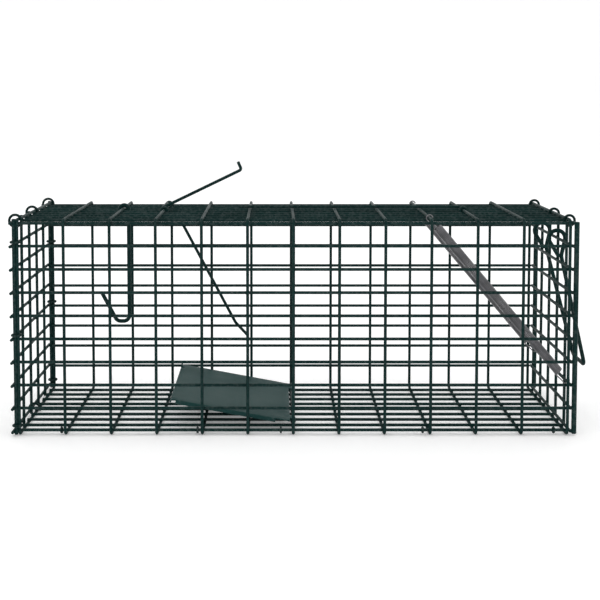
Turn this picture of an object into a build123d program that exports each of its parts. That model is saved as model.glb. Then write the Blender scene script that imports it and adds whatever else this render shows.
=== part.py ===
from build123d import *
from math import cos, hypot, radians, sin, sqrt
import os

# Live catch trap: a long wire-mesh cage with a sprung door at the +X end, a bail on
# the door, a hold-down rod and a trip lever on the roof, a bait hook and a treadle.
# Sizes are in mm, +Z is up, the front side faces -Y.
# The origin is on the ground, at the centre of the whole part's footprint.

# ---- sizes of the mesh sleeve -------------------------------------------------
WIRE = 2.4                 # diameter of every mesh wire
WELD = 0.1                 # how far two welded wires sink into each other
RING_PITCH = 39.2          # spacing of the wires that run round the sleeve
RING_CELLS = 12
LEVEL_PITCH = 20.0         # spacing of the lengthwise wires up the sides
SIDE_LEVELS = 8
WIDTH = 172.8              # between centre planes of the front and back uprights
HEIGHT = 184.8             # between centres of the floor and roof cross wires
BEND_RADIUS = 4.5          # centreline radius of the sleeve's folded corners
FLOOR_CELLS = 9

# ---- rear panel ---------------------------------------------------------------
POST_WIRE = 3.0
PANEL_CELLS = 5
PANEL_OVERHANG = 4.2       # cross wires run past the corner posts by this much
PANEL_TOP = 187.0
PANEL_BOTTOM = 1.0

# ---- rings and clips ----------------------------------------------------------
RING_WIRE = 2.0            # wire of the closing rings and clips
CLIP_WIRE = 1.6

# ---- door ---------------------------------------------------------------------
DOOR_GAP = 0.4             # between the closed door and the end of the sleeve
SIDE_ROD = 4.2
DOOR_CELLS = 5
DOOR_WIDTH = 169.0         # between the side rods' centres
DOOR_CROSS_LENGTH = 171.0
DOOR_TOP_STUB = 0.8        # uprights end this far above the hinge wire's centre
DOOR_BOTTOM = 1.2

# ---- bail ---------------------------------------------------------------------
BAIL_WIRE = 3.4
BAIL_CENTRE_Y = 9.5
BAIL_EYE_SPAN = 64.0       # between the two eyes; the legs close in toward the bar
BAIL_BAR_SPAN = 43.0
BAIL_REACH = 121.8         # from the wire it hangs on to the bar's centre
BAIL_LEAN = 13.9           # degrees it hangs away from the closed door
EYE_INNER = 5.5            # inner radius of the round top of each teardrop eye
EYE_LENGTH = 16.4          # from the eye's round centre to where the wires meet
EYE_DROP = 0.5             # the eye's centre hangs this far below the wire's

# ---- pivot coils of the rod and the lever --------------------------------------
LEVER_WIRE = 2.6
PIVOT_PLAY = 0.06          # running clearance between a coil and the wire in it

# ---- hold-down rod ------------------------------------------------------------
ROD_RING = 10              # ring wire that it turns on
ROD_LENGTH = 206.0
ROD_Y = 6.1
ROD_RISE = 2.9             # rod's centre above its pivot, so it clears the ring wires
ROD_COIL_FRONT = -1.5
ROD_COIL_BACK = 7.55

# ---- trip lever ---------------------------------------------------------------
LEVER_RING = 3
LEVER_LIFT = 25.8          # degrees the outer arm stands above level
LEVER_OUTER = 80.0
LEVER_OUTER_Y = 6.1
LEVER_INNER_Y = 58.5
LEVER_DROP = 62.1          # degrees the inner arm points below level
LEVER_INNER = 130.8
LEVER_TOE = 17.6
LEVER_TOE_DROP = 47.1
LEVER_COIL = 8.9           # length of each of its two pivot coils
LEVER_TIP = 8.0            # length of the outer arm's upturned tip
LEVER_TIP_TURN = 88.0

# ---- bait hook ----------------------------------------------------------------
HOOK_RING = 2
HOOK_Y = 18.5
HOOK_WIRE = 3.4
HOOK_ARCH = 4.05           # centreline radius of the arch that sits on the ring wire
HOOK_BOTTOM = 80.2         # centre of the wire at the lowest point of the hook
HOOK_BEND = 5.5
HOOK_TIP = (-21.0, 107.0)  # tip, along X from the ring wire, and its height

# ---- treadle ------------------------------------------------------------------
TREADLE_RING = 6
TREADLE_TILT = 10.5
TREADLE_LENGTH = 109.4     # from the hinge axis to the free edge
TREADLE_WIDTH = 143.0
SHEET = 1.2
TREADLE_START = 3.2        # plate begins this far from the hinge axis
RIM_DEPTH = 3.4            # depth of the plate's folded edges
LUG_WIDTH = 10.0
LUG_CELL = 1               # floor cell, from the front, in which the first lug sits
CATCH_WIDTH = 6.0
CATCH_HEIGHT = 4.0

# ---- door springs -------------------------------------------------------------
SPRING_RING = 9
SPRING_Y = 68.4
SPRING_DIAMETER = 8.0
SPRING_WIRE = 1.1
SPRING_HOOK_RADIUS = 2.6   # centreline radius of the end hooks
SPRING_TOP_STEM = 10.0     # from the ring wire to the first coil
SPRING_END_STEM = 10.5     # from the last coil to the door wire
SPRING_DOOR_LEVEL = 2

# ---- positions that follow from the sizes --------------------------------------
CONTACT = WIRE - WELD
HALF_WIDTH = WIDTH / 2
FLOOR_Z = WIRE / 2
ROOF_Z = FLOOR_Z + HEIGHT
SLEEVE = RING_PITCH * RING_CELLS
REAR_POST_OFFSET = WIRE / 2 + POST_WIRE / 2 + 0.02
REAR_CROSS_OFFSET = REAR_POST_OFFSET + POST_WIRE / 2 + WIRE / 2 - WELD
DOOR_OFFSET = WIRE + DOOR_GAP
BAIL_BAR_OFFSET = DOOR_OFFSET + BAIL_REACH * sin(radians(BAIL_LEAN))
TOP_DROP = HEIGHT - CONTACT - (SIDE_LEVELS + 1) * LEVEL_PITCH
TOP_RING_RADIUS = hypot(REAR_CROSS_OFFSET, TOP_DROP) / 2 + WIRE / 2 + RING_WIRE / 2 - 0.04
REAR_LIMIT = -REAR_CROSS_OFFSET / 2 - TOP_RING_RADIUS - RING_WIRE / 2
FRONT_LIMIT = SLEEVE + BAIL_BAR_OFFSET + BAIL_WIRE / 2
MIDDLE = (REAR_LIMIT + FRONT_LIMIT) / 2

CORNER_INSET = (BEND_RADIUS - WIRE + WELD / 2) / sqrt(2)
CORNER_Y = HALF_WIDTH - BEND_RADIUS + CORNER_INSET
FLOOR_PITCH = 2 * CORNER_Y / FLOOR_CELLS
DOOR_X = SLEEVE - MIDDLE + DOOR_OFFSET


def ring_x(index):
    """X of one of the wires that run round the sleeve, counted from the rear."""
    return index * RING_PITCH - MIDDLE


def level_z(index):
    """Height of a lengthwise or door cross wire, counted from the floor."""
    return FLOOR_Z + CONTACT + index * LEVEL_PITCH


def floor_y(index):
    """Y of a lengthwise wire of the floor or the roof, counted from the front."""
    return -CORNER_Y + index * FLOOR_PITCH


def straight_wire(start, end, diameter):
    """A straight round wire between two points."""
    run = Vector(*end) - Vector(*start)
    return Solid.make_cylinder(diameter / 2, run.length, Plane(origin=start, z_dir=run))


def swept_wire(path, diameter):
    """A round wire along a path."""
    section = Plane(origin=path @ 0, z_dir=path % 0) * Circle(diameter / 2)
    return sweep(section, path=path).solid()


def bent_wire(points, diameter, radius):
    """A round wire through a row of points, with every corner bent to one radius."""
    return swept_wire(FilletPolyline(*points, radius=radius), diameter)


def open_ring(centre, normal, opening, radius, diameter, gap):
    """A closing ring: a loop of wire whose two ends stop short of meeting."""
    plane = Plane(origin=centre, x_dir=opening, z_dir=normal)
    loop = Solid.make_torus(radius, diameter / 2, Plane.XY, 0, 360, 360 - gap)
    return (plane * Rot(0, 0, gap / 2) * Part([loop])).solid()


def oval_clip(first, second, x, wire, clip):
    """A flat clip in the YZ plane, closed round two wires that lie side by side."""
    reach = wire / 2 + clip / 2
    (y1, z1), (y2, z2) = first, second
    length = hypot(y2 - y1, z2 - z1)
    uy, uz = (y2 - y1) / length, (z2 - z1) / length

    def at(point, along, aside):
        y, z = point
        return (x, y + uy * along - uz * aside, z + uz * along + uy * aside)

    outline = [
        Line(at(first, 0, reach), at(second, 0, reach)),
        ThreePointArc(at(second, 0, reach), at(second, reach, 0), at(second, 0, -reach)),
        Line(at(second, 0, -reach), at(first, 0, -reach)),
        ThreePointArc(at(first, 0, -reach), at(first, -reach, 0), at(first, 0, reach)),
    ]
    return swept_wire(Wire(outline), clip)


def save(name, *solids):
    """Write one node: a single solid, or a group of separate solids."""
    shape = solids[0] if len(solids) == 1 else Compound(children=list(solids))
    shape.label = name
    export_step(shape, f"parts/{name}.step")


def side_uprights(y):
    """The upright runs of all ring wires on one side."""
    low, high = FLOOR_Z + BEND_RADIUS, ROOF_Z - BEND_RADIUS
    return [
        straight_wire((ring_x(i), y, low), (ring_x(i), y, high), WIRE)
        for i in range(RING_CELLS + 1)
    ]


def cross_runs(z):
    """The runs of all ring wires across the roof or the floor."""
    reach = HALF_WIDTH - BEND_RADIUS
    return [
        straight_wire((ring_x(i), -reach, z), (ring_x(i), reach, z), WIRE)
        for i in range(RING_CELLS + 1)
    ]


def corner_bends():
    """The quarter-circle bends that join the runs of every ring wire."""
    reach = HALF_WIDTH - BEND_RADIUS
    corners = [
        (-reach, FLOOR_Z + BEND_RADIUS, 180),
        (reach, FLOOR_Z + BEND_RADIUS, 270),
        (reach, ROOF_Z - BEND_RADIUS, 0),
        (-reach, ROOF_Z - BEND_RADIUS, 90),
    ]
    bends = []
    for index in range(RING_CELLS + 1):
        for y, z, turn in corners:
            plane = Plane(origin=(ring_x(index), y, z), x_dir=(0, 1, 0), z_dir=(1, 0, 0))
            bend = Solid.make_torus(BEND_RADIUS, WIRE / 2, Plane.XY, 0, 360, 90)
            bends.append((plane * Rot(0, 0, turn) * Part([bend])).solid())
    return bends


def long_wire(y, z):
    """One wire that runs the whole length of the sleeve."""
    return straight_wire(
        (ring_x(0) - WIRE / 2, y, z), (ring_x(RING_CELLS) + WIRE / 2, y, z), WIRE
    )


def side_long_wires(y):
    """The lengthwise wires up one side, between the corner ones."""
    return [long_wire(y, level_z(i)) for i in range(1, SIDE_LEVELS + 1)]


def deck_long_wires(flat_z, corner_z):
    """The lengthwise wires across the floor or the roof, corner ones included."""
    heights = [corner_z] + [flat_z] * (FLOOR_CELLS - 1) + [corner_z]
    return [long_wire(floor_y(i), z) for i, z in enumerate(heights)]


def build_sleeve():
    """The folded mesh sleeve, its lengthwise seam and the clips that close it."""
    side_y = HALF_WIDTH - CONTACT
    floor_corner = FLOOR_Z + BEND_RADIUS - CORNER_INSET
    roof_corner = ROOF_Z - BEND_RADIUS + CORNER_INSET
    seam_y = floor_y(0) + sqrt(WIRE**2 - (floor_corner - level_z(0)) ** 2) + 0.02
    save("front_uprights", *side_uprights(-HALF_WIDTH))
    save("back_uprights", *side_uprights(HALF_WIDTH))
    save("roof_cross_wires", *cross_runs(ROOF_Z))
    save("floor_cross_wires", *cross_runs(FLOOR_Z))
    save("ring_corner_bends", *corner_bends())
    save("front_long_wires", *side_long_wires(-side_y))
    save("back_long_wires", *side_long_wires(side_y))
    save("roof_long_wires", *deck_long_wires(ROOF_Z - CONTACT, roof_corner))
    save("floor_long_wires", *deck_long_wires(level_z(0), floor_corner))
    save("seam_wire", long_wire(seam_y, level_z(0)))
    beside_rings = [(1, -3.7), (4, -4.2), (6, -10.8), (9, -6.2), (12, -11.0)]
    clips = [
        oval_clip(
            (floor_y(0), floor_corner),
            (seam_y, level_z(0)),
            ring_x(index) + shift,
            WIRE,
            CLIP_WIRE,
        )
        for index, shift in beside_rings
    ]
    save("seam_clips", *clips)


def build_rear_panel():
    """The flat mesh panel that closes the rear end, with its rings and clips."""
    post_x = ring_x(0) - REAR_POST_OFFSET
    cross_x = ring_x(0) - REAR_CROSS_OFFSET
    upright_x = cross_x + CONTACT
    pitch = WIDTH / PANEL_CELLS

    def upright(x, y, wire):
        return straight_wire((x, y, PANEL_BOTTOM), (x, y, PANEL_TOP), wire)

    inner = [-HALF_WIDTH + pitch * i for i in range(1, PANEL_CELLS)]
    save("rear_panel_uprights", *[upright(upright_x, y, WIRE) for y in inner])
    save(
        "rear_panel_posts",
        *[upright(post_x, y, POST_WIRE) for y in (-HALF_WIDTH, HALF_WIDTH)],
    )
    reach = HALF_WIDTH + PANEL_OVERHANG
    save(
        "rear_panel_cross_wires",
        *[
            straight_wire((cross_x, -reach, level_z(i)), (cross_x, reach, level_z(i)), WIRE)
            for i in range(SIDE_LEVELS + 2)
        ],
    )

    middle_x = (ring_x(0) + cross_x) / 2
    ring_z = ROOF_Z - TOP_DROP / 2
    rings = [
        open_ring((middle_x, y, ring_z), (0, 1, 0), (0.2, 0, -1), TOP_RING_RADIUS, RING_WIRE, 24)
        for y in (-79.5, -4.0, 79.5)
    ]
    save("rear_panel_top_rings", *rings)
    staple = open_ring(
        (middle_x, -4.0, (FLOOR_Z + level_z(0)) / 2),
        (0, 1, 0),
        (-0.05, 0, -1),
        TOP_RING_RADIUS,
        RING_WIRE,
        146,
    )
    save("rear_panel_floor_ring", staple)

    clip_radius = (REAR_POST_OFFSET + WIRE / 2 + POST_WIRE / 2) / 2 + RING_WIRE / 2 - 0.03
    clip_x = (ring_x(0) + WIRE / 2 + post_x - POST_WIRE / 2) / 2
    clips = [
        open_ring((clip_x, y, z), (0, 0, 1), (1, 0, 0), clip_radius, RING_WIRE, 30)
        for y, heights in ((-HALF_WIDTH, (9.0, 87.2, 167.2)), (HALF_WIDTH, (9.0, 87.2, 147.2)))
        for z in heights
    ]
    save("rear_panel_post_clips", *clips)


def build_door():
    """The door mesh, its heavy side rods and the rings that it swings in."""
    upright_x = DOOR_X + CONTACT
    rod_x = DOOR_X + WIRE / 2 + SIDE_ROD / 2 - WELD
    hinge_z = level_z(SIDE_LEVELS + 1)
    top = hinge_z + DOOR_TOP_STUB
    pitch = DOOR_WIDTH / DOOR_CELLS
    inner = [-DOOR_WIDTH / 2 + pitch * i for i in range(1, DOOR_CELLS)]
    save(
        "door_uprights",
        *[straight_wire((upright_x, y, DOOR_BOTTOM), (upright_x, y, top), WIRE) for y in inner],
    )
    save(
        "door_side_rods",
        *[
            straight_wire((rod_x, y, DOOR_BOTTOM), (rod_x, y, top), SIDE_ROD)
            for y in (-DOOR_WIDTH / 2, DOOR_WIDTH / 2)
        ],
    )

    def cross_wire(level):
        reach = DOOR_CROSS_LENGTH / 2
        z = level_z(level)
        return straight_wire((DOOR_X, -reach, z), (DOOR_X, reach, z), WIRE)

    save("door_cross_wires", *[cross_wire(i) for i in range(SIDE_LEVELS + 1)])
    save("door_hinge_wire", cross_wire(SIDE_LEVELS + 1))

    run = Vector(ring_x(RING_CELLS) - DOOR_X, 0, ROOF_Z - hinge_z)
    inner_radius = 3.5
    centre = Vector(ring_x(RING_CELLS), 0, ROOF_Z) - run.normalized() * (
        inner_radius - WIRE / 2 + 0.04
    )
    rings = [
        open_ring(
            (centre.X, y, centre.Z),
            (0, 1, 0),
            (-1, 0, -1),
            inner_radius + RING_WIRE / 2,
            RING_WIRE,
            26,
        )
        for y in (-74.2, -13.5, 74.2)
    ]
    save("door_hinge_rings", *rings)


def build_bail():
    """The U-shaped bail: one wire with a teardrop eye at the end of each leg."""
    lean = radians(BAIL_LEAN)
    hang_z = level_z(SIDE_LEVELS)
    radius = EYE_INNER + BAIL_WIRE / 2
    centre = EYE_DROP

    def at(aside, down, y):
        x = DOOR_X + down * sin(lean) + aside * cos(lean)
        return (x, y, hang_z - down * cos(lean) + aside * sin(lean))

    eyes = (BAIL_CENTRE_Y - BAIL_EYE_SPAN / 2, BAIL_CENTRE_Y + BAIL_EYE_SPAN / 2)
    bar = (BAIL_CENTRE_Y - BAIL_BAR_SPAN / 2, BAIL_CENTRE_Y + BAIL_BAR_SPAN / 2)
    frame = bent_wire(
        [
            at(0, centre + EYE_LENGTH, eyes[0]),
            at(0, BAIL_REACH, bar[0]),
            at(0, BAIL_REACH, bar[1]),
            at(0, centre + EYE_LENGTH, eyes[1]),
        ],
        BAIL_WIRE,
        7.0,
    )
    tangent = radius**2 / EYE_LENGTH
    aside = radius * sqrt(1 - (radius / EYE_LENGTH) ** 2)
    shape = frame
    for y in eyes:
        tail = at(0, centre + EYE_LENGTH, y)
        left = at(-aside, centre + tangent, y)
        right = at(aside, centre + tangent, y)
        eye = Wire(
            [
                Line(tail, left),
                ThreePointArc(left, at(0, centre - radius, y), right),
                Line(right, tail),
            ]
        )
        start = Plane(origin=eye @ 0, z_dir=eye % 0)
        loop = sweep(start * Circle(BAIL_WIRE / 2), path=eye, transition=Transition.ROUND)
        shape = shape + loop
        foot = at(0, centre + EYE_LENGTH, y)
        shape = shape + Pos(*foot) * Sphere(BAIL_WIRE / 2 + 0.08)
    save("bail", shape.solid())


def pivot_coil(x, z, front, back):
    """A close-wound pivot coil round a ring wire, as the sleeve that it fills."""
    bore = WIRE / 2 + PIVOT_PLAY
    outer = bore + LEVER_WIRE
    plane = Plane(origin=(x, front, z), z_dir=(0, 1, 0))
    return Solid.make_cylinder(outer, back - front, plane) - Solid.make_cylinder(
        bore, back - front, plane
    )


def build_hold_down_rod():
    """The long straight rod that lies on the roof, with its pivot coil."""
    x = ring_x(ROD_RING)
    arm = straight_wire(
        (x, ROD_Y, ROOF_Z + ROD_RISE), (x - ROD_LENGTH, ROD_Y, ROOF_Z + ROD_RISE), LEVER_WIRE
    )
    coil = pivot_coil(x, ROOF_Z, ROD_COIL_FRONT, ROD_COIL_BACK)
    save("hold_down_rod", (arm + coil).solid())


def build_trip_lever():
    """The bell-crank lever: outer arm, two pivot coils, spine, inner arm and toe."""
    x, z = ring_x(LEVER_RING), ROOF_Z
    reach = WIRE / 2 + PIVOT_PLAY + LEVER_WIRE / 2
    lift, drop, toe = radians(LEVER_LIFT), radians(LEVER_DROP), radians(LEVER_TOE_DROP)
    turn = lift + radians(LEVER_TIP_TURN)
    above = (x - reach * sin(lift), z + reach * cos(lift))
    bend = (above[0] + LEVER_OUTER * cos(lift), above[1] + LEVER_OUTER * sin(lift))
    tip = (bend[0] + LEVER_TIP * cos(turn), bend[1] + LEVER_TIP * sin(turn))
    outer = bent_wire(
        [(px, LEVER_OUTER_Y, pz) for px, pz in (above, bend, tip)], LEVER_WIRE, 2.2
    )
    spine = straight_wire(
        (above[0], LEVER_OUTER_Y, above[1]), (above[0], LEVER_INNER_Y, above[1]), LEVER_WIRE
    )
    beside = (x + reach * sin(drop), z + reach * cos(drop))
    elbow = (beside[0] + LEVER_INNER * cos(drop), beside[1] - LEVER_INNER * sin(drop))
    end = (elbow[0] + LEVER_TOE * cos(toe), elbow[1] - LEVER_TOE * sin(toe))
    inner = bent_wire(
        [(px, LEVER_INNER_Y, pz) for px, pz in (beside, elbow, end)], LEVER_WIRE, 8.0
    )
    shape = outer + spine + inner
    for arm_y in (LEVER_OUTER_Y, LEVER_INNER_Y):
        back = arm_y + LEVER_WIRE / 2 + 0.15
        shape = shape + pivot_coil(x, z, back - LEVER_COIL, back)
    save("trip_lever", shape.solid())


def build_bait_hook():
    """The J-shaped bait hook that hangs from a roof wire."""
    x, z = ring_x(HOOK_RING), ROOF_Z
    inner = HOOK_ARCH - HOOK_WIRE / 2
    centre_x = x + 0.6
    centre_z = z - (inner - WIRE / 2 - 0.35)
    shank_x = centre_x + HOOK_ARCH
    left_x = centre_x - HOOK_ARCH
    tip_x, tip_z = x + HOOK_TIP[0], HOOK_TIP[1]
    arch = ThreePointArc(
        (left_x, HOOK_Y, centre_z),
        (centre_x, HOOK_Y, centre_z + HOOK_ARCH),
        (shank_x, HOOK_Y, centre_z),
    )
    nose = Line((left_x, HOOK_Y, centre_z - 4.0), (left_x, HOOK_Y, centre_z))
    lower = FilletPolyline(
        (shank_x, HOOK_Y, centre_z),
        (shank_x, HOOK_Y, HOOK_BOTTOM),
        (shank_x - 11.5, HOOK_Y, HOOK_BOTTOM),
        (tip_x, HOOK_Y, tip_z),
        radius=HOOK_BEND,
    )
    save("bait_hook", swept_wire(Wire([nose, arch, *lower.edges()]), HOOK_WIRE))


def build_treadle():
    """The hinge rod on the floor and the tilting plate with its curled lugs."""
    x = ring_x(TREADLE_RING)
    z = level_z(0) + CONTACT
    rod_reach = TREADLE_WIDTH / 2 + 9.0
    save("treadle_hinge_rod", straight_wire((x, -rod_reach, z), (x, rod_reach, z), WIRE))

    bore = WIRE / 2 + PIVOT_PLAY
    outer = bore + SHEET
    tilt = Plane(
        origin=(x, 0, z),
        x_dir=(-cos(radians(TREADLE_TILT)), 0, sin(radians(TREADLE_TILT))),
        z_dir=(0, 1, 0),
    )

    def block(u0, u1, v0, v1, y0, y1):
        size = Box(u1 - u0, v1 - v0, y1 - y0)
        return tilt * Pos((u0 + u1) / 2, (v0 + v1) / 2, (y0 + y1) / 2) * size

    half = TREADLE_WIDTH / 2
    plate = block(TREADLE_START, TREADLE_LENGTH, bore, outer, -half, half)
    for y in (floor_y(LUG_CELL) + FLOOR_PITCH / 2, -floor_y(LUG_CELL) - FLOOR_PITCH / 2):
        low, high = y - LUG_WIDTH / 2, y + LUG_WIDTH / 2
        barrel = Solid.make_cylinder(outer, LUG_WIDTH, Plane(origin=(x, low, z), z_dir=(0, 1, 0)))
        plate = plate + barrel + block(0, TREADLE_START + 1, bore, outer, low, high)
    hole = Solid.make_cylinder(bore, 2 * half, Plane(origin=(x, -half, z), z_dir=(0, 1, 0)))
    plate = plate - hole
    rim = outer - RIM_DEPTH
    lip = block(TREADLE_LENGTH - SHEET, TREADLE_LENGTH, rim, outer, -half, half)
    side = block(TREADLE_START + 9, TREADLE_LENGTH, rim, outer, -half, -half + SHEET)
    other = block(TREADLE_START + 9, TREADLE_LENGTH, rim, outer, half - SHEET, half)
    catch = block(
        TREADLE_LENGTH - SHEET,
        TREADLE_LENGTH,
        outer - 0.2,
        outer + CATCH_HEIGHT,
        LEVER_INNER_Y - CATCH_WIDTH / 2,
        LEVER_INNER_Y + CATCH_WIDTH / 2,
    )
    save("treadle_plate", (plate + lip + side + other + catch).solid())


def build_spring(name, y):
    """One door spring: a closed tube for its coil, and a hook at each end."""
    top = Vector(ring_x(SPRING_RING), y, ROOF_Z)
    low = Vector(DOOR_X, y, level_z(SPRING_DOOR_LEVEL))
    run = (low - top).normalized()
    aside = Vector(-run.Z, 0, run.X)
    barrel_start = top + run * SPRING_TOP_STEM
    barrel_end = low - run * SPRING_END_STEM
    barrel = Solid.make_cylinder(
        SPRING_DIAMETER / 2,
        (barrel_end - barrel_start).length,
        Plane(origin=barrel_start, z_dir=run),
    )
    hollow = Solid.make_cylinder(
        SPRING_DIAMETER / 2 - SPRING_WIRE,
        (barrel_end - barrel_start).length,
        Plane(origin=barrel_start, z_dir=run),
    )

    def hook(eye, inward, stem):
        """A hook whose open loop sits round the wire at eye."""
        side = aside * SPRING_HOOK_RADIUS
        loop = ThreePointArc(
            eye + side * -1, eye - inward * SPRING_HOOK_RADIUS, eye + side
        )
        back = Line(eye + side, eye + side * 0.9 + inward * 1.5)
        neck = Spline(
            eye + inward * stem + aside * (SPRING_DIAMETER / 2 - SPRING_WIRE / 2) * -1,
            eye + side * -1,
            tangents=[inward * -1, inward * -1],
        )
        return swept_wire(Wire([neck, loop, back]), SPRING_WIRE)

    upper = hook(top, run, SPRING_TOP_STEM + 1.0)
    lower = hook(low, run * -1, SPRING_END_STEM - 0.35)
    save(f"{name}_coil", ((barrel - hollow) + upper).solid())
    save(f"{name}_lower_hook", lower)


os.makedirs("parts", exist_ok=True)
build_sleeve()
build_rear_panel()
build_door()
build_bail()
build_hold_down_rod()
build_trip_lever()
build_bait_hook()
build_treadle()
build_spring("near_spring", -SPRING_Y)
build_spring("far_spring", SPRING_Y)
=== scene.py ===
import logging
from dataclasses import dataclass, field
from enum import Enum
from math import asin, cos, hypot, pi, radians, sin, sqrt

import bmesh
import bpy
from mathutils import Matrix, Vector


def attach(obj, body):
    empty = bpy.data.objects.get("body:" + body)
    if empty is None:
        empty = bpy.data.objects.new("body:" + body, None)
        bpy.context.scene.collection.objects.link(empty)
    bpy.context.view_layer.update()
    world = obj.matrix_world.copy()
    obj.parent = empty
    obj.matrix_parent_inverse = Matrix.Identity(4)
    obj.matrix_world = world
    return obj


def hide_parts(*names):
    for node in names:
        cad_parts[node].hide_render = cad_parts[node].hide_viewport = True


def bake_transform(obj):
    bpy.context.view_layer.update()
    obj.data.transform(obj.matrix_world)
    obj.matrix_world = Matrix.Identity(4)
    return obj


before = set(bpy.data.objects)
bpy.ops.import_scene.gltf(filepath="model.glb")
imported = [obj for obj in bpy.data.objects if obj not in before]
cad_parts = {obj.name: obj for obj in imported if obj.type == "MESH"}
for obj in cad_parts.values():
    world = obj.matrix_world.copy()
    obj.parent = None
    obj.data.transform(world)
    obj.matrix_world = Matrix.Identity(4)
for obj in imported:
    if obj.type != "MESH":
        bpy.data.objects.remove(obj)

# Live catch trap: a wire cage with a sprung door at the +X end. Sizes in the classes
# are millimetres, and the meshes are made in metres. -Y is the near side, +Z is up.

log = logging.getLogger("live_catch_trap")
MILLIMETRE = 0.001
Colour = tuple[float, float, float]


class Body(Enum):
    """The moving bodies that pieces ride on."""

    CAGE = "cage"
    DOOR = "door"
    BAIL = "bail"
    ROD = "hold_down_rod"
    LEVER = "trip_lever"
    HOOK = "bait_hook"
    TREADLE = "treadle"


class Slot(Enum):
    """The finish slots that a maker can repaint."""

    MESH_WIRE = "green_mesh_wire"
    DOOR_WIRE = "green_door_wire"
    SIDE_ROD = "green_side_rod"
    LEVER_WIRE = "green_lever_wire"
    CLOSING_RING = "green_closing_ring"
    SHEET = "green_sheet"
    SPRING = "spring_steel"


class Side(Enum):
    """The near and the far side of the trap, as the sign of Y."""

    NEAR = -1
    FAR = 1


# ---- paths that wires follow -------------------------------------------------------


def turn_path(
    centre: Vector, first: Vector, second: Vector, radius: float, start: float, end: float, steps: int
) -> list[Vector]:
    """Points along an arc.

    Args:
        centre: Middle of the arc.
        first: Direction of angle 0.
        second: Direction of a quarter turn.
        radius: Radius of the arc.
        start: Angle of the first point, in degrees.
        end: Angle of the last point, in degrees.
        steps: Number of runs between the points.

    Returns:
        The points, both ends included.
    """
    angles = [radians(start + (end - start) * i / steps) for i in range(steps + 1)]
    return [centre + first * radius * cos(a) + second * radius * sin(a) for a in angles]


def bent_path(corners: list[Vector], radius: float, closed: bool = False, steps: int = 8) -> list[Vector]:
    """The line of a wire that is bent round each corner.

    Args:
        corners: Where the straight runs would meet.
        radius: Centreline radius of every bend.
        closed: Whether the last run leads back to the first corner.
        steps: Number of runs in each bend.

    Returns:
        The points along the bent line.
    """
    count = len(corners)
    path: list[Vector] = []
    for index, corner in enumerate(corners):
        if not closed and index in (0, count - 1):
            path.append(corner.copy())
            continue
        before = (corners[index - 1] - corner).normalized()
        after = (corners[(index + 1) % count] - corner).normalized()
        half = before.angle(after) / 2
        setback = radius * cos(half) / sin(half)
        middle = corner + (before + after).normalized() * (radius / sin(half))
        out = (corner + before * setback - middle).normalized()
        back = (corner + after * setback - middle).normalized()
        sweep = out.angle(back)
        across = (back - out * cos(sweep)).normalized()
        path += turn_path(middle, out, across, radius, 0, sweep * 180 / pi, steps)
    return path


def eased_path(
    start: Vector, leaving: Vector, end: Vector, arriving: Vector, steps: int = 14
) -> list[Vector]:
    """A smooth line between two points with a given heading at each.

    Args:
        start: First point.
        leaving: Heading at the start, its length the reach of the bend.
        end: Last point.
        arriving: Heading at the end, its length the reach of the bend.
        steps: Number of runs.

    Returns:
        The points, both ends included.
    """
    points = []
    for index in range(steps + 1):
        t = index / steps
        a, b = 2 * t**3 - 3 * t**2 + 1, t**3 - 2 * t**2 + t
        c, d = -2 * t**3 + 3 * t**2, t**3 - t**2
        points.append(start * a + leaving * b + end * c + arriving * d)
    return points


def open_ring(centre: Vector, axis: Vector, opening: Vector, radius: float, gap: float) -> list[Vector]:
    """The line of a closing ring whose ends stop short of meeting.

    Args:
        centre: Middle of the ring.
        axis: The direction that the ring goes round.
        opening: The side that the gap faces.
        radius: Centreline radius.
        gap: Angle of the gap, in degrees.

    Returns:
        The points along the ring.
    """
    first = opening.normalized()
    return turn_path(centre, first, axis.cross(first), radius, gap / 2, 360 - gap / 2, 36)


# ---- meshes ------------------------------------------------------------------------


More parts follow.
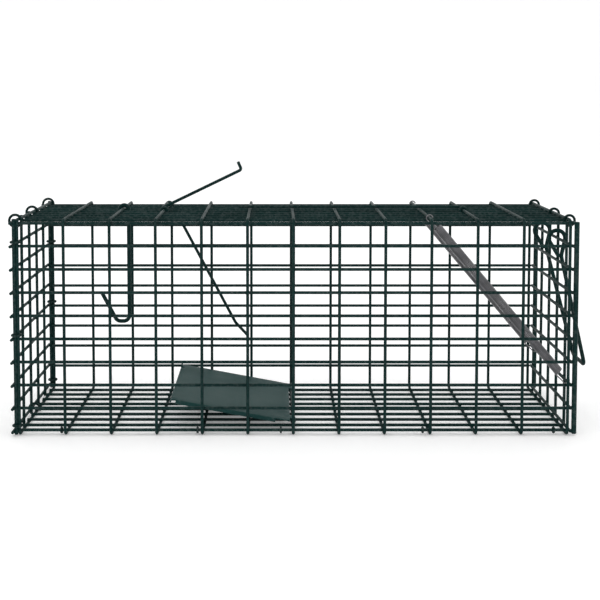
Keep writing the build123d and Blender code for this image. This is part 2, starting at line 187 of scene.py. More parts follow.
class WireWork:
    """One piece's mesh, gathered from round wires and weld nuggets."""

    def __init__(self, name: str, coat: float = 0.24) -> None:
        """Start an empty piece.

        Args:
            name: The piece's name.
            coat: What the baked coat adds to a wire's diameter.
        """
        self.name = name
        self.coat = coat
        self.mesh = bmesh.new()

    def wire(self, path: list[Vector], diameter: float, sides: int = 14, closed: bool = False) -> None:
        """Add a round wire with slightly rounded cut ends.

        Args:
            path: Points along the wire's centreline.
            diameter: Diameter of the wire.
            sides: Number of faces round it.
            closed: Whether the wire closes on itself.
        """
        radius = (diameter + self.coat) / 2
        stations = [(point, radius) for point in path]
        if not closed:
            inward = (path[1] - path[0]).normalized() * radius
            outward = (path[-2] - path[-1]).normalized() * radius
            stations = [
                (path[0], radius * 0.72),
                (path[0] + inward * 0.12, radius * 0.93),
                (path[0] + inward * 0.34, radius),
                *stations[1:-1],
                (path[-1] + outward * 0.34, radius),
                (path[-1] + outward * 0.12, radius * 0.93),
                (path[-1], radius * 0.72),
            ]
        count = len(stations)
        loops = []
        heading = self._heading(stations, 0, closed)
        side = heading.orthogonal().normalized()
        for index in range(count):
            turned = self._heading(stations, index, closed)
            side = heading.rotation_difference(turned) @ side
            side = (side - turned * side.dot(turned)).normalized()
            heading = turned
            up = heading.cross(side)
            point, size = stations[index]
            loops.append(
                [
                    self.mesh.verts.new(
                        (point + (side * cos(a) + up * sin(a)) * size) * MILLIMETRE
                    )
                    for a in (2 * pi * k / sides for k in range(sides))
                ]
            )
        for index in range(count if closed else count - 1):
            here, there = loops[index], loops[(index + 1) % count]
            for k in range(sides):
                face = self.mesh.faces.new(
                    (here[k], here[(k + 1) % sides], there[(k + 1) % sides], there[k])
                )
                face.smooth = True
        if not closed:
            self.mesh.faces.new(list(reversed(loops[0])))
            self.mesh.faces.new(loops[-1])

    @staticmethod
    def _heading(stations: list[tuple[Vector, float]], index: int, closed: bool) -> Vector:
        """The wire's direction at one of its stations.

        Args:
            stations: Points and radii along the wire.
            index: Which station.
            closed: Whether the wire closes on itself.

        Returns:
            A unit vector along the wire.
        """
        last = len(stations) - 1
        before = stations[index - 1 if closed or index > 0 else 0][0]
        after = stations[(index + 1) % (last + 1) if closed or index < last else last][0]
        return (after - before).normalized()

    def nugget(self, centre: Vector, reach: tuple[float, float, float]) -> None:
        """Add the small swelling that a spot weld leaves at a crossing.

        Args:
            centre: The middle of the weld.
            reach: Half sizes along X, Y and Z.
        """
        place = Matrix.Translation(centre * MILLIMETRE) @ Matrix.Diagonal(
            (reach[0] * MILLIMETRE, reach[1] * MILLIMETRE, reach[2] * MILLIMETRE, 1.0)
        )
        made = bmesh.ops.create_icosphere(self.mesh, subdivisions=2, radius=1.0, matrix=place)
        for face in {f for vertex in made["verts"] for f in vertex.link_faces}:
            face.smooth = True

    def piece(self, finish: "Finish") -> bpy.types.Object:
        """Turn the gathered mesh into an object.

        Args:
            finish: The finish that it gets.

        Returns:
            The object, in the scene.
        """
        data = bpy.data.meshes.new(self.name)
        self.mesh.to_mesh(data)
        self.mesh.free()
        made = bpy.data.objects.new(self.name, data)
        bpy.context.scene.collection.objects.link(made)
        data.materials.append(finish.material())
        return made


def mount(made: bpy.types.Object, body: Body, slot: Slot, *nodes: str) -> bpy.types.Object:
    """Hang a finished piece on its body.

    Args:
        made: The piece, in place.
        body: The body that it rides on.
        slot: The finish slot that it takes; not used.
        nodes: The solids that it stands for.

    Returns:
        The same piece.
    """
    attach(made, body.value)
    if nodes:
        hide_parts(*nodes)
    log.info("%s rides on %s, %d faces", made.name, body.value, len(made.data.polygons))
    return made


# ---- shader groups shared by the finishes ------------------------------------------


class NodeWork:
    """A short hand for placing and joining shader nodes in one tree."""

    def __init__(self, tree: bpy.types.NodeTree) -> None:
        """Work in that tree."""
        self.tree = tree

    def add(self, kind: str, **inputs: object) -> bpy.types.Node:
        """Place a node.

        Args:
            kind: The node's type name.
            inputs: Values or sockets for its inputs, named with _ for a space.

        Returns:
            The node.
        """
        node = self.tree.nodes.new(kind)
        for name, value in inputs.items():
            self.feed(node, name.replace("_", " "), value)
        return node

    def feed(self, node: bpy.types.Node, name: str, value: object) -> None:
        """Set an input, or link it when the value is a socket.

        Args:
            node: The node to feed.
            name: The input's name, or its number as text.
            value: A number, a colour, a vector or an output socket.
        """
        socket = node.inputs[int(name)] if name.isdigit() else node.inputs[name]
        if isinstance(value, bpy.types.NodeSocket):
            self.tree.links.new(value, socket)
        else:
            socket.default_value = value

    def maths(self, operation: str, first: object, second: object = 0.0) -> bpy.types.NodeSocket:
        """One arithmetic step, clamped to 0..1.

        Args:
            operation: The step's name, such as MULTIPLY.
            first: A number or a socket.
            second: A number or a socket.

        Returns:
            The result's socket.
        """
        node = self.tree.nodes.new("ShaderNodeMath")
        node.operation = operation
        node.use_clamp = True
        self.feed(node, "0", first)
        self.feed(node, "1", second)
        return node.outputs[0]

    def ramp(self, value: bpy.types.NodeSocket, low: float, high: float) -> bpy.types.NodeSocket:
        """A smooth mask that goes from 0 at low to 1 at high.

        Args:
            value: The socket to read.
            low: Where the mask starts.
            high: Where it is full.

        Returns:
            The mask's socket.
        """
        node = self.tree.nodes.new("ShaderNodeMapRange")
        node.interpolation_type = "SMOOTHSTEP"
        self.feed(node, "Value", value)
        node.inputs["From Min"].default_value = low
        node.inputs["From Max"].default_value = high
        return node.outputs[0]

    def blend(self, share: object, first: object, second: object) -> bpy.types.NodeSocket:
        """A mix of two colours.

        Args:
            share: How much of the second.
            first: A colour or a socket.
            second: A colour or a socket.

        Returns:
            The mixed colour's socket.
        """
        node = self.tree.nodes.new("ShaderNodeMix")
        node.data_type = "RGBA"
        self.feed(node, "0", share)
        self.feed(node, "6", first)
        self.feed(node, "7", second)
        return node.outputs[2]


class SharedEffects:
    """The shader groups that every finish places with its own values."""

    def __init__(self) -> None:
        """No group is built until a finish asks for it."""
        self._built: dict[str, bpy.types.NodeTree] = {}

    @staticmethod
    def _begin(name: str, inputs: dict[str, float | tuple], outputs: dict[str, str]) -> tuple:
        """Open a new group.

        Args:
            name: The group's name.
            inputs: Input names and their first values.
            outputs: Output names and their socket types.

        Returns:
            The tree, its node helper, its input node and its output node.
        """
        tree = bpy.data.node_groups.new(name, "ShaderNodeTree")
        for label, value in inputs.items():
            kind = "NodeSocketColor" if isinstance(value, tuple) else "NodeSocketFloat"
            tree.interface.new_socket(name=label, in_out="INPUT", socket_type=kind).default_value = value
        for label, kind in outputs.items():
            tree.interface.new_socket(name=label, in_out="OUTPUT", socket_type=kind)
        work = NodeWork(tree)
        return tree, work, work.add("NodeGroupInput"), work.add("NodeGroupOutput")

    def orange_peel(self) -> bpy.types.NodeTree:
        """The fine dimpled skin of baked powder, with lumps where it ran thick.

        Returns:
            The group, with a Height output.
        """
        if "Orange Peel" not in self._built:
            tree, work, given, result = self._begin(
                "Orange Peel", {"Dimples": 900.0, "Lumps": 160.0}, {"Height": "NodeSocketFloat"}
            )
            place = work.add("ShaderNodeTexCoord").outputs["Object"]
            fine = work.add("ShaderNodeTexNoise", Vector=place, Scale=given.outputs["Dimples"], Detail=3.0)
            broad = work.add("ShaderNodeTexNoise", Vector=place, Scale=given.outputs["Lumps"], Detail=2.0)
            both = work.maths(
                "ADD",
                work.maths("MULTIPLY", fine.outputs[0], 0.45),
                work.maths("MULTIPLY", broad.outputs[0], 0.55),
            )
            work.feed(result, "Height", both)
            self._built["Orange Peel"] = tree
        return self._built["Orange Peel"]

    def tone_drift(self) -> bpy.types.NodeTree:
        """Slow changes of shade along the wires, with fine flecks in them.

        Returns:
            The group, with Colour and Patch outputs.
        """
        if "Tone Drift" not in self._built:
            tree, work, given, result = self._begin(
                "Tone Drift",
                {"Shade": (0.1, 0.2, 0.2, 1.0), "Deep Shade": (0.05, 0.1, 0.1, 1.0), "Patches": 22.0},
                {"Colour": "NodeSocketColor", "Patch": "NodeSocketFloat"},
            )
            place = work.add("ShaderNodeTexCoord").outputs["Object"]
            slow = work.add("ShaderNodeTexNoise", Vector=place, Scale=given.outputs["Patches"], Detail=4.0)
            fleck = work.add("ShaderNodeTexNoise", Vector=place, Scale=1500.0, Detail=2.0)
            patch = work.ramp(slow.outputs[0], 0.32, 0.68)
            speck = work.maths("MULTIPLY", work.ramp(fleck.outputs[0], 0.5, 0.72), 0.18)
            share = work.maths("ADD", work.maths("MULTIPLY", patch, 0.75), speck)
            mixed = work.blend(share, given.outputs["Shade"], given.outputs["Deep Shade"])
            work.feed(result, "Colour", mixed)
            work.feed(result, "Patch", patch)
            self._built["Tone Drift"] = tree
        return self._built["Tone Drift"]

    def rubbed_through(self) -> bpy.types.NodeTree:
        """Small chips, most of them on edges, where the coat is rubbed through.

        Returns:
            The group, with a Mask output.
        """
        if "Rubbed Through" not in self._built:
            tree, work, given, result = self._begin(
                "Rubbed Through", {"Amount": 0.3, "Chips": 420.0}, {"Mask": "NodeSocketFloat"}
            )
            place = work.add("ShaderNodeTexCoord").outputs["Object"]
            edge = work.ramp(work.add("ShaderNodeNewGeometry").outputs["Pointiness"], 0.51, 0.60)
            chips = work.add("ShaderNodeTexNoise", Vector=place, Scale=given.outputs["Chips"], Detail=5.0)
            patches = work.add("ShaderNodeTexNoise", Vector=place, Scale=48.0, Detail=1.0)
            sparse = work.maths(
                "MULTIPLY", work.ramp(chips.outputs[0], 0.66, 0.74), work.ramp(patches.outputs[0], 0.60, 0.76)
            )
            worn = work.maths("MULTIPLY", edge, work.ramp(chips.outputs[0], 0.44, 0.62))
            every = work.maths("MAXIMUM", worn, work.maths("MULTIPLY", sparse, 0.55))
            work.feed(result, "Mask", work.maths("MULTIPLY", every, given.outputs["Amount"]))
            self._built["Rubbed Through"] = tree
        return self._built["Rubbed Through"]

    def settled_dust(self) -> bpy.types.NodeTree:
        """A thin uneven film of dust on whatever faces up.

        Returns:
            The group, with a Mask output.
        """
        if "Settled Dust" not in self._built:
            tree, work, given, result = self._begin(
                "Settled Dust", {"Amount": 0.1, "Grain": 260.0}, {"Mask": "NodeSocketFloat"}
            )
            place = work.add("ShaderNodeTexCoord").outputs["Object"]
            normal = work.add("ShaderNodeNewGeometry").outputs["Normal"]
            facing = work.add("ShaderNodeSeparateXYZ", Vector=normal)
            grain = work.add("ShaderNodeTexNoise", Vector=place, Scale=given.outputs["Grain"], Detail=5.0)
            film = work.maths(
                "MULTIPLY", work.ramp(facing.outputs["Z"], 0.2, 0.95), work.ramp(grain.outputs[0], 0.35, 0.75)
            )
            work.feed(result, "Mask", work.maths("MULTIPLY", film, given.outputs["Amount"]))
            self._built["Settled Dust"] = tree
        return self._built["Settled Dust"]

    def place(self, work: NodeWork, group: bpy.types.NodeTree, **inputs: object) -> bpy.types.Node:
        """Put a group into a finish with that finish's own values.

        Args:
            work: The finish's node helper.
            group: The group to place.
            inputs: Values for its inputs, named with _ for a space.

        Returns:
            The group's node.
        """
        node = work.tree.nodes.new("ShaderNodeGroup")
        node.node_tree = group
        for name, value in inputs.items():
            work.feed(node, name.replace("_", " "), value)
        return node


EFFECTS = SharedEffects()


@dataclass(frozen=True)
class Finish:
    """What every finish has: a name and a material built from it."""

    name: str

    def material(self) -> bpy.types.Material:
        """The finish's material, built the first time it is asked for.

        Returns:
            The material.
        """
        found = bpy.data.materials.get(self.name)
        if found is not None:
            return found
        made = bpy.data.materials.new(self.name)
        made.use_nodes = True
        made.node_tree.nodes.clear()
        work = NodeWork(made.node_tree)
        shader = work.add("ShaderNodeBsdfPrincipled")
        ending = work.add("ShaderNodeOutputMaterial")
        made.node_tree.links.new(shader.outputs[0], ending.inputs["Surface"])
        self.lay(work, shader)
        return made

    def lay(self, work: NodeWork, shader: bpy.types.Node) -> None:
        """Wire the finish into its shader.

        Args:
            work: The material's node helper.
            shader: The material's Principled shader.
        """
        raise NotImplementedError


@dataclass(frozen=True)
class PowderCoat(Finish):
    """Green powder coat baked on galvanised steel."""

    shade: Colour = (0.0060, 0.0270, 0.0255)
    deep: Colour = (0.0038, 0.0185, 0.0175)
    patches: float = 22.0
    gloss: float = 0.40
    dimples: float = 900.0
    relief: float = 0.00002
    wear: float = 0.10
    dust: float = 0.012

    def lay(self, work: NodeWork, shader: bpy.types.Node) -> None:
        """Colour, chips, dust and orange peel.

        Args:
            work: The material's node helper.
            shader: The material's Principled shader.
        """
        tone = EFFECTS.place(
            work,
            EFFECTS.tone_drift(),
            Shade=(*self.shade, 1.0),
            Deep_Shade=(*self.deep, 1.0),
            Patches=self.patches,
        )
        rubbed = EFFECTS.place(work, EFFECTS.rubbed_through(), Amount=self.wear).outputs["Mask"]
        dusty = EFFECTS.place(work, EFFECTS.settled_dust(), Amount=self.dust).outputs["Mask"]
        peel = EFFECTS.place(work, EFFECTS.orange_peel(), Dimples=self.dimples)
        bare = work.blend(rubbed, tone.outputs["Colour"], (0.30, 0.32, 0.32, 1.0))
        work.feed(shader, "Base Color", work.blend(dusty, bare, (0.34, 0.34, 0.31, 1.0)))
        work.feed(shader, "Metallic", work.maths("MULTIPLY", rubbed, 0.8))
        rough = work.maths("ADD", self.gloss, work.maths("MULTIPLY", tone.outputs["Patch"], 0.10))
        work.feed(shader, "Roughness", work.maths("ADD", rough, dusty))
        bump = work.add("ShaderNodeBump", Height=peel.outputs["Height"])
        bump.inputs["Strength"].default_value = 0.55
        bump.inputs["Distance"].default_value = self.relief
        work.feed(shader, "Normal", bump.outputs[0])
        shader.inputs["IOR"].default_value = 1.13


@dataclass(frozen=True)
class SpringSteel(Finish):
    """Bright zinc-plated spring wire with a fine bumpy skin."""

    bright: Colour = (0.27, 0.27, 0.28)
    dull: Colour = (0.14, 0.14, 0.15)

    def lay(self, work: NodeWork, shader: bpy.types.Node) -> None:
        """Plating tone, fine bumps and a trace of dust.

        Args:
            work: The material's node helper.
            shader: The material's Principled shader.
        """
        tone = EFFECTS.place(
            work, EFFECTS.tone_drift(), Shade=(*self.bright, 1.0), Deep_Shade=(*self.dull, 1.0), Patches=60.0
        )
        dusty = EFFECTS.place(work, EFFECTS.settled_dust(), Amount=0.12).outputs["Mask"]
        peel = EFFECTS.place(work, EFFECTS.orange_peel(), Dimples=2600.0, Lumps=700.0)
        work.feed(shader, "Base Color", work.blend(dusty, tone.outputs["Colour"], (0.30, 0.29, 0.27, 1.0)))
        work.feed(shader, "Metallic", work.maths("SUBTRACT", 1.0, dusty))
        work.feed(
            shader, "Roughness", work.maths("ADD", 0.24, work.maths("MULTIPLY", tone.outputs["Patch"], 0.14))
        )
        bump = work.add("ShaderNodeBump", Height=peel.outputs["Height"])
        bump.inputs["Strength"].default_value = 0.3
        bump.inputs["Distance"].default_value = 0.00003
        work.feed(shader, "Normal", bump.outputs[0])


@dataclass(frozen=True)
class StudioPaper(Finish):
    """Matt pale paper for the floor and the backdrop."""

    tone: Colour = (0.94, 0.94, 0.94)
    glow: float = 0.22

    def lay(self, work: NodeWork, shader: bpy.types.Node) -> None:
        """A plain matt sheet.

        Args:
            work: The material's node helper; not used here.
            shader: The material's Principled shader.
        """
        shader.inputs["Base Color"].default_value = (*self.tone, 1.0)
        shader.inputs["Roughness"].default_value = 0.9
        shader.inputs["Specular IOR Level"].default_value = 0.1
        shader.inputs["Emission Color"].default_value = (1.0, 1.0, 1.0, 1.0)
        shader.inputs["Emission Strength"].default_value = self.glow


MESH_COAT = PowderCoat("mesh_wire_powder_coat")
DOOR_COAT = PowderCoat("door_wire_powder_coat", patches=30.0, wear=0.13)
ROD_COAT = PowderCoat(
    "side_rod_powder_coat", shade=(0.0064, 0.0280, 0.0262), patches=18.0, gloss=0.33, wear=0.14
)
LEVER_COAT = PowderCoat("lever_wire_powder_coat", patches=34.0, wear=0.18, dust=0.012)
RING_COAT = PowderCoat("closing_ring_powder_coat", shade=(0.0048, 0.0205, 0.0190), patches=60.0, wear=0.2)
SHEET_COAT = PowderCoat(
    "treadle_sheet_powder_coat",
    shade=(0.0145, 0.0545, 0.0515),
    deep=(0.0115, 0.0465, 0.0445),
    patches=14.0,
    gloss=0.42,
    dimples=620.0,
    relief=0.00012,
    wear=0.35,
    dust=0.006,
)
SPRING_STEEL = SpringSteel("bright_spring_steel")
PAPER = StudioPaper("studio_paper")


# ---- the cage ----------------------------------------------------------------------


@dataclass(frozen=True)
class CageGrid:
    """Where the wires of the cage lie. Every sub-assembly is placed from these."""

    wire: float = 2.4
    weld: float = 0.1
    weld_reach: float = 1.62
    weld_depth: float = 1.15
    ring_bite: float = 0.04
    rear_end: float = -247.700
    ring_pitch: float = 39.2
    ring_cells: int = 12
    level_pitch: float = 20.0
    side_levels: int = 8
    half_width: float = 86.4
    floor: float = 1.2
    roof: float = 186.0
    bend: float = 4.5
    floor_cells: int = 9

    @property
    def contact(self) -> float:
        """Distance between the centres of two welded wires."""
        return self.wire - self.weld

    @property
    def inset(self) -> float:
        """How far a corner wire sits in from the bend's centre, along each axis."""
        return (self.bend - self.wire + self.weld / 2) / sqrt(2)

    def ring_x(self, index: int) -> float:
        """X of a wire that runs round the sleeve, counted from the rear."""
        return self.rear_end + self.ring_pitch * index

    def level_z(self, index: int) -> float:
        """Height of a lengthwise wire, counted from the floor."""
        return self.floor + self.contact + self.level_pitch * index

    def floor_y(self, index: int) -> float:
        """Y of a lengthwise wire of the floor or roof, counted from the near side."""
        corner = self.half_width - self.bend + self.inset
        return -corner + 2 * corner / self.floor_cells * index


GRID = CageGrid()


@dataclass
class MeshSleeve:
    """The folded mesh sleeve: bent ring wires, lengthwise wires, seam and clips."""

    grid: CageGrid = GRID
    clip_wire: float = 1.6
    clip_places: tuple[tuple[int, float], ...] = ((1, -3.7), (4, -4.2), (6, -10.8), (9, -6.2), (12, -11.0))

    def build(self) -> None:
        """Make and hang every piece of the sleeve."""
        self.ring_wires()
        for side in Side:
            self.side_wires(side)
        self.deck_wires("roof_long_wires", self.grid.roof - self.grid.contact, self._roof_corner())
        self.deck_wires("floor_long_wires", self.grid.level_z(0), self._floor_corner())
        self.seam()

    def _roof_corner(self) -> float:
        """Height of the corner wires of the roof."""
        return self.grid.roof - self.grid.bend + self.grid.inset

    def _floor_corner(self) -> float:
        """Height of the corner wires of the floor."""
        return self.grid.floor + self.grid.bend - self.grid.inset

    def ring_wires(self) -> None:
        """The wires that run round the sleeve, each bent from one length."""
        grid = self.grid
        work = WireWork("sleeve_ring_wires")
        for index in range(grid.ring_cells + 1):
            x = grid.ring_x(index)
            corners = [
                Vector((x, -grid.half_width, grid.floor)),
                Vector((x, grid.half_width, grid.floor)),
                Vector((x, grid.half_width, grid.roof)),
                Vector((x, -grid.half_width, grid.roof)),
            ]
            work.wire(bent_path(corners, grid.bend, closed=True), grid.wire, closed=True)
        mount(
            work.piece(MESH_COAT),
            Body.CAGE,
            Slot.MESH_WIRE,
            "front_uprights",
            "back_uprights",
            "roof_cross_wires",
            "floor_cross_wires",
            "ring_corner_bends",
        )

    def _long_wire(self, work: WireWork, y: float, z: float) -> None:
        """Add one wire that runs the whole length of the sleeve.

        Args:
            work: The piece that it is added to.
            y: Place across the trap.
            z: Height.
        """
        reach = self.grid.wire / 2
        first, last = self.grid.ring_x(0) - reach, self.grid.ring_x(self.grid.ring_cells) + reach
        work.wire([Vector((first, y, z)), Vector((last, y, z))], self.grid.wire)

    def side_wires(self, side: Side) -> None:
        """The lengthwise wires of one side, welded inside the uprights.

        Args:
            side: Which side.
        """
        grid = self.grid
        name = "front_long_wires" if side is Side.NEAR else "back_long_wires"
        y = side.value * (grid.half_width - grid.contact)
        work = WireWork(name)
        for level in range(1, grid.side_levels + 1):
            z = grid.level_z(level)
            self._long_wire(work, y, z)
            for index in range(grid.ring_cells + 1):
                middle = y + side.value * grid.contact / 2
                centre = Vector((grid.ring_x(index), middle, z))
                work.nugget(centre, (grid.weld_reach, grid.weld_depth, grid.weld_reach))
        mount(work.piece(MESH_COAT), Body.CAGE, Slot.MESH_WIRE, name)

    def deck_wires(self, name: str, flat: float, corner: float) -> None:
        """The lengthwise wires of the floor or the roof.

        Args:
            name: Name of the piece and of the solid that it stands for.
            flat: Height of the wires between the corners.
            corner: Height of the two corner wires.
        """
        grid = self.grid
        away = grid.contact / 2 if flat > grid.roof / 2 else -grid.contact / 2
        work = WireWork(name)
        for index in range(grid.floor_cells + 1):
            outer = index in (0, grid.floor_cells)
            y, z = grid.floor_y(index), corner if outer else flat
            self._long_wire(work, y, z)
            if not outer:
                for ring in range(grid.ring_cells + 1):
                    centre = Vector((grid.ring_x(ring), y, z + away))
                    work.nugget(centre, (grid.weld_reach, grid.weld_reach, grid.weld_depth))
        mount(work.piece(MESH_COAT), Body.CAGE, Slot.MESH_WIRE, name)

    def seam(self) -> None:
        """The second wire along the lower near edge and the clips round the pair."""
        grid = self.grid
        first = Vector((0, grid.floor_y(0), self._floor_corner()))
        drop = self._floor_corner() - grid.level_z(0)
        second = Vector((0, grid.floor_y(0) + sqrt(grid.wire**2 - drop**2) + 0.02, grid.level_z(0)))
        work = WireWork("seam_wire")
        self._long_wire(work, second.y, second.z)
        mount(work.piece(MESH_COAT), Body.CAGE, Slot.MESH_WIRE, "seam_wire")

        reach = (grid.wire + self.clip_wire) / 2
        along = (second - first).normalized()
        aside = Vector((1, 0, 0)).cross(along)
        clips = WireWork("seam_clips")
        for index, shift in self.clip_places:
            at = Vector((grid.ring_x(index) + shift, 0, 0))
            path = turn_path(at + second, aside, along, reach, 0, 180, 12)
            path += turn_path(at + first, -aside, -along, reach, 0, 180, 12)
            clips.wire(path, self.clip_wire, sides=10, closed=True)
        mount(clips.piece(RING_COAT), Body.CAGE, Slot.CLOSING_RING, "seam_clips")


@dataclass
class RearPanel:
    """The flat mesh panel at the rear, with its heavier posts, rings and clips."""

    grid: CageGrid = GRID
    post_wire: float = 3.0
    ring_wire: float = 2.0
    cells: int = 5
    overhang: float = 4.2
    top: float = 187.0
    bottom: float = 1.0
    top_ring_places: tuple[float, ...] = (-79.5, -4.0, 79.5)
    near_clips: tuple[float, ...] = (9.0, 87.2, 167.2)
    far_clips: tuple[float, ...] = (9.0, 87.2, 147.2)

    def build(self) -> None:
        """Make and hang every piece of the rear panel."""
        self.uprights()
        self.cross_wires()
        self.rings()
        self.clips()

    @property
    def post_x(self) -> float:
        """X of the corner posts."""
        return self.grid.ring_x(0) - self.grid.wire / 2 - self.post_wire / 2 - 0.02

    @property
    def cross_x(self) -> float:
        """X of the cross wires."""
        return self.post_x - self.post_wire / 2 - self.grid.wire / 2 + self.grid.weld

    def uprights(self) -> None:
        """The inner uprights and the two heavier corner posts."""
        grid = self.grid
        pitch = 2 * grid.half_width / self.cells
        x = self.cross_x + grid.contact
        inner = WireWork("rear_panel_uprights")
        for index in range(1, self.cells):
            y = -grid.half_width + pitch * index
            inner.wire([Vector((x, y, self.bottom)), Vector((x, y, self.top))], grid.wire)
        mount(inner.piece(MESH_COAT), Body.CAGE, Slot.MESH_WIRE, "rear_panel_uprights")
        posts = WireWork("rear_panel_posts")
        for side in Side:
            y = side.value * grid.half_width
            foot, head = Vector((self.post_x, y, self.bottom)), Vector((self.post_x, y, self.top))
            posts.wire([foot, head], self.post_wire)
        mount(posts.piece(MESH_COAT), Body.CAGE, Slot.MESH_WIRE, "rear_panel_posts")

    def cross_wires(self) -> None:
        """The cross wires, welded outside the uprights and the posts."""
        grid = self.grid
        reach = grid.half_width + self.overhang
        pitch = 2 * grid.half_width / self.cells
        work = WireWork("rear_panel_cross_wires")
        for level in range(grid.side_levels + 2):
            z = grid.level_z(level)
            work.wire([Vector((self.cross_x, -reach, z)), Vector((self.cross_x, reach, z))], grid.wire)
            for index in range(self.cells + 1):
                y = -grid.half_width + pitch * index
                centre = Vector((self.cross_x + grid.contact / 2, y, z))
                work.nugget(centre, (grid.weld_depth, grid.weld_reach, grid.weld_reach))
        mount(work.piece(MESH_COAT), Body.CAGE, Slot.MESH_WIRE, "rear_panel_cross_wires")

    def rings(self) -> None:
        """The rings that close the panel to the roof and to the floor."""
        grid = self.grid
        drop = grid.roof - grid.level_z(grid.side_levels + 1)
        span = hypot(grid.ring_x(0) - self.cross_x, drop)
        radius = span / 2 + (grid.wire + self.ring_wire) / 2 - grid.ring_bite
        middle = (grid.ring_x(0) + self.cross_x) / 2
        axis = Vector((0, 1, 0))
        top = WireWork("rear_panel_top_rings")
        for y in self.top_ring_places:
            centre = Vector((middle, y, grid.roof - drop / 2))
            top.wire(open_ring(centre, axis, Vector((0.2, 0, -1)), radius, 24), self.ring_wire)
        mount(top.piece(RING_COAT), Body.CAGE, Slot.CLOSING_RING, "rear_panel_top_rings")
        floor = WireWork("rear_panel_floor_ring")
        centre = Vector((middle, -4.0, (grid.floor + grid.level_z(0)) / 2))
        floor.wire(open_ring(centre, axis, Vector((-0.05, 0, -1)), radius, 146), self.ring_wire)
        mount(floor.piece(RING_COAT), Body.CAGE, Slot.CLOSING_RING, "rear_panel_floor_ring")

    def clips(self) -> None:
        """The clips that hold the corner posts to the first ring wire."""
        grid = self.grid
        span = grid.ring_x(0) + grid.wire / 2 - self.post_x + self.post_wire / 2
        radius = span / 2 + self.ring_wire / 2 - grid.ring_bite
        x = (grid.ring_x(0) + grid.wire / 2 + self.post_x - self.post_wire / 2) / 2
        work = WireWork("rear_panel_post_clips")
        for side, heights in ((Side.NEAR, self.near_clips), (Side.FAR, self.far_clips)):
            for z in heights:
                centre = Vector((x, side.value * grid.half_width, z))
                work.wire(open_ring(centre, Vector((0, 0, 1)), Vector((1, 0, 0)), radius, 30), self.ring_wire)
        mount(work.piece(RING_COAT), Body.CAGE, Slot.CLOSING_RING, "rear_panel_post_clips")


@dataclass
class Door:
    """The door's mesh with its two heavy side rods, and the rings that it swings in."""

    grid: CageGrid = GRID
    gap: float = 0.4
    side_rod: float = 4.2
    rod_weld: float = 2.3
    rod_weld_shift: float = 0.9
    cells: int = 5
    width: float = 169.0
    cross_length: float = 171.0
    stub: float = 0.8
    bottom: float = 1.2
    ring_wire: float = 2.0
    ring_bore: float = 3.5
    ring_places: tuple[float, ...] = (-74.2, -13.5, 74.2)

    @property
    def x(self) -> float:
        """X of the door's cross wires."""
        return self.grid.ring_x(self.grid.ring_cells) + self.grid.wire + self.gap

    @property
    def hinge_z(self) -> float:
        """Height of the wire that the door swings on."""
        return self.grid.level_z(self.grid.side_levels + 1)

    def build(self) -> None:
        """Make and hang every piece of the door."""
        self.uprights()
        self.cross_wires()
        self.hinge_rings()

    def uprights(self) -> None:
        """The inner uprights and the heavy side rods."""
        top = self.hinge_z + self.stub
        x = self.x + self.grid.contact
        pitch = self.width / self.cells
        inner = WireWork("door_uprights")
        for index in range(1, self.cells):
            y = -self.width / 2 + pitch * index
            inner.wire([Vector((x, y, self.bottom)), Vector((x, y, top))], self.grid.wire)
        mount(inner.piece(DOOR_COAT), Body.DOOR, Slot.DOOR_WIRE, "door_uprights")
        rods = WireWork("door_side_rods")
        x = self.x + (self.grid.wire + self.side_rod) / 2 - self.grid.weld
        for side in Side:
            y = side.value * self.width / 2
            rods.wire([Vector((x, y, self.bottom)), Vector((x, y, top))], self.side_rod, sides=20)
        mount(rods.piece(ROD_COAT), Body.DOOR, Slot.SIDE_ROD, "door_side_rods")

    def cross_wires(self) -> None:
        """The cross wires with their welds, and the hinge wire."""
        reach = self.cross_length / 2
        pitch = self.width / self.cells
        work, hinge = WireWork("door_cross_wires"), WireWork("door_hinge_wire")
        for level in range(self.grid.side_levels + 2):
            z = self.grid.level_z(level)
            target = hinge if level == self.grid.side_levels + 1 else work
            target.wire([Vector((self.x, -reach, z)), Vector((self.x, reach, z))], self.grid.wire)
            for index in range(self.cells + 1):
                y = -self.width / 2 + pitch * index
                wide = self.rod_weld if index in (0, self.cells) else self.grid.weld_reach
                y += {0: self.rod_weld_shift, self.cells: -self.rod_weld_shift}.get(index, 0.0)
                centre = Vector((self.x + self.grid.contact / 2, y, z))
                target.nugget(centre, (self.grid.weld_depth, wide, self.grid.weld_reach))
        mount(work.piece(DOOR_COAT), Body.DOOR, Slot.DOOR_WIRE, "door_cross_wires")
        mount(hinge.piece(DOOR_COAT), Body.DOOR, Slot.DOOR_WIRE, "door_hinge_wire")

    def hinge_rings(self) -> None:
        """The rings on the last ring wire that the hinge wire turns in."""
        end = Vector((self.grid.ring_x(self.grid.ring_cells), 0, self.grid.roof))
        run = (end - Vector((self.x, 0, self.hinge_z))).normalized()
        centre = end - run * (self.ring_bore - self.grid.wire / 2 + self.grid.ring_bite)
        work = WireWork("door_hinge_rings")
        for y in self.ring_places:
            path = open_ring(
                Vector((centre.x, y, centre.z)),
                Vector((0, 1, 0)),
                Vector((-1, 0, -1)),
                self.ring_bore + self.ring_wire / 2,
                26,
            )
            work.wire(path, self.ring_wire)
        mount(work.piece(RING_COAT), Body.CAGE, Slot.CLOSING_RING, "door_hinge_rings")


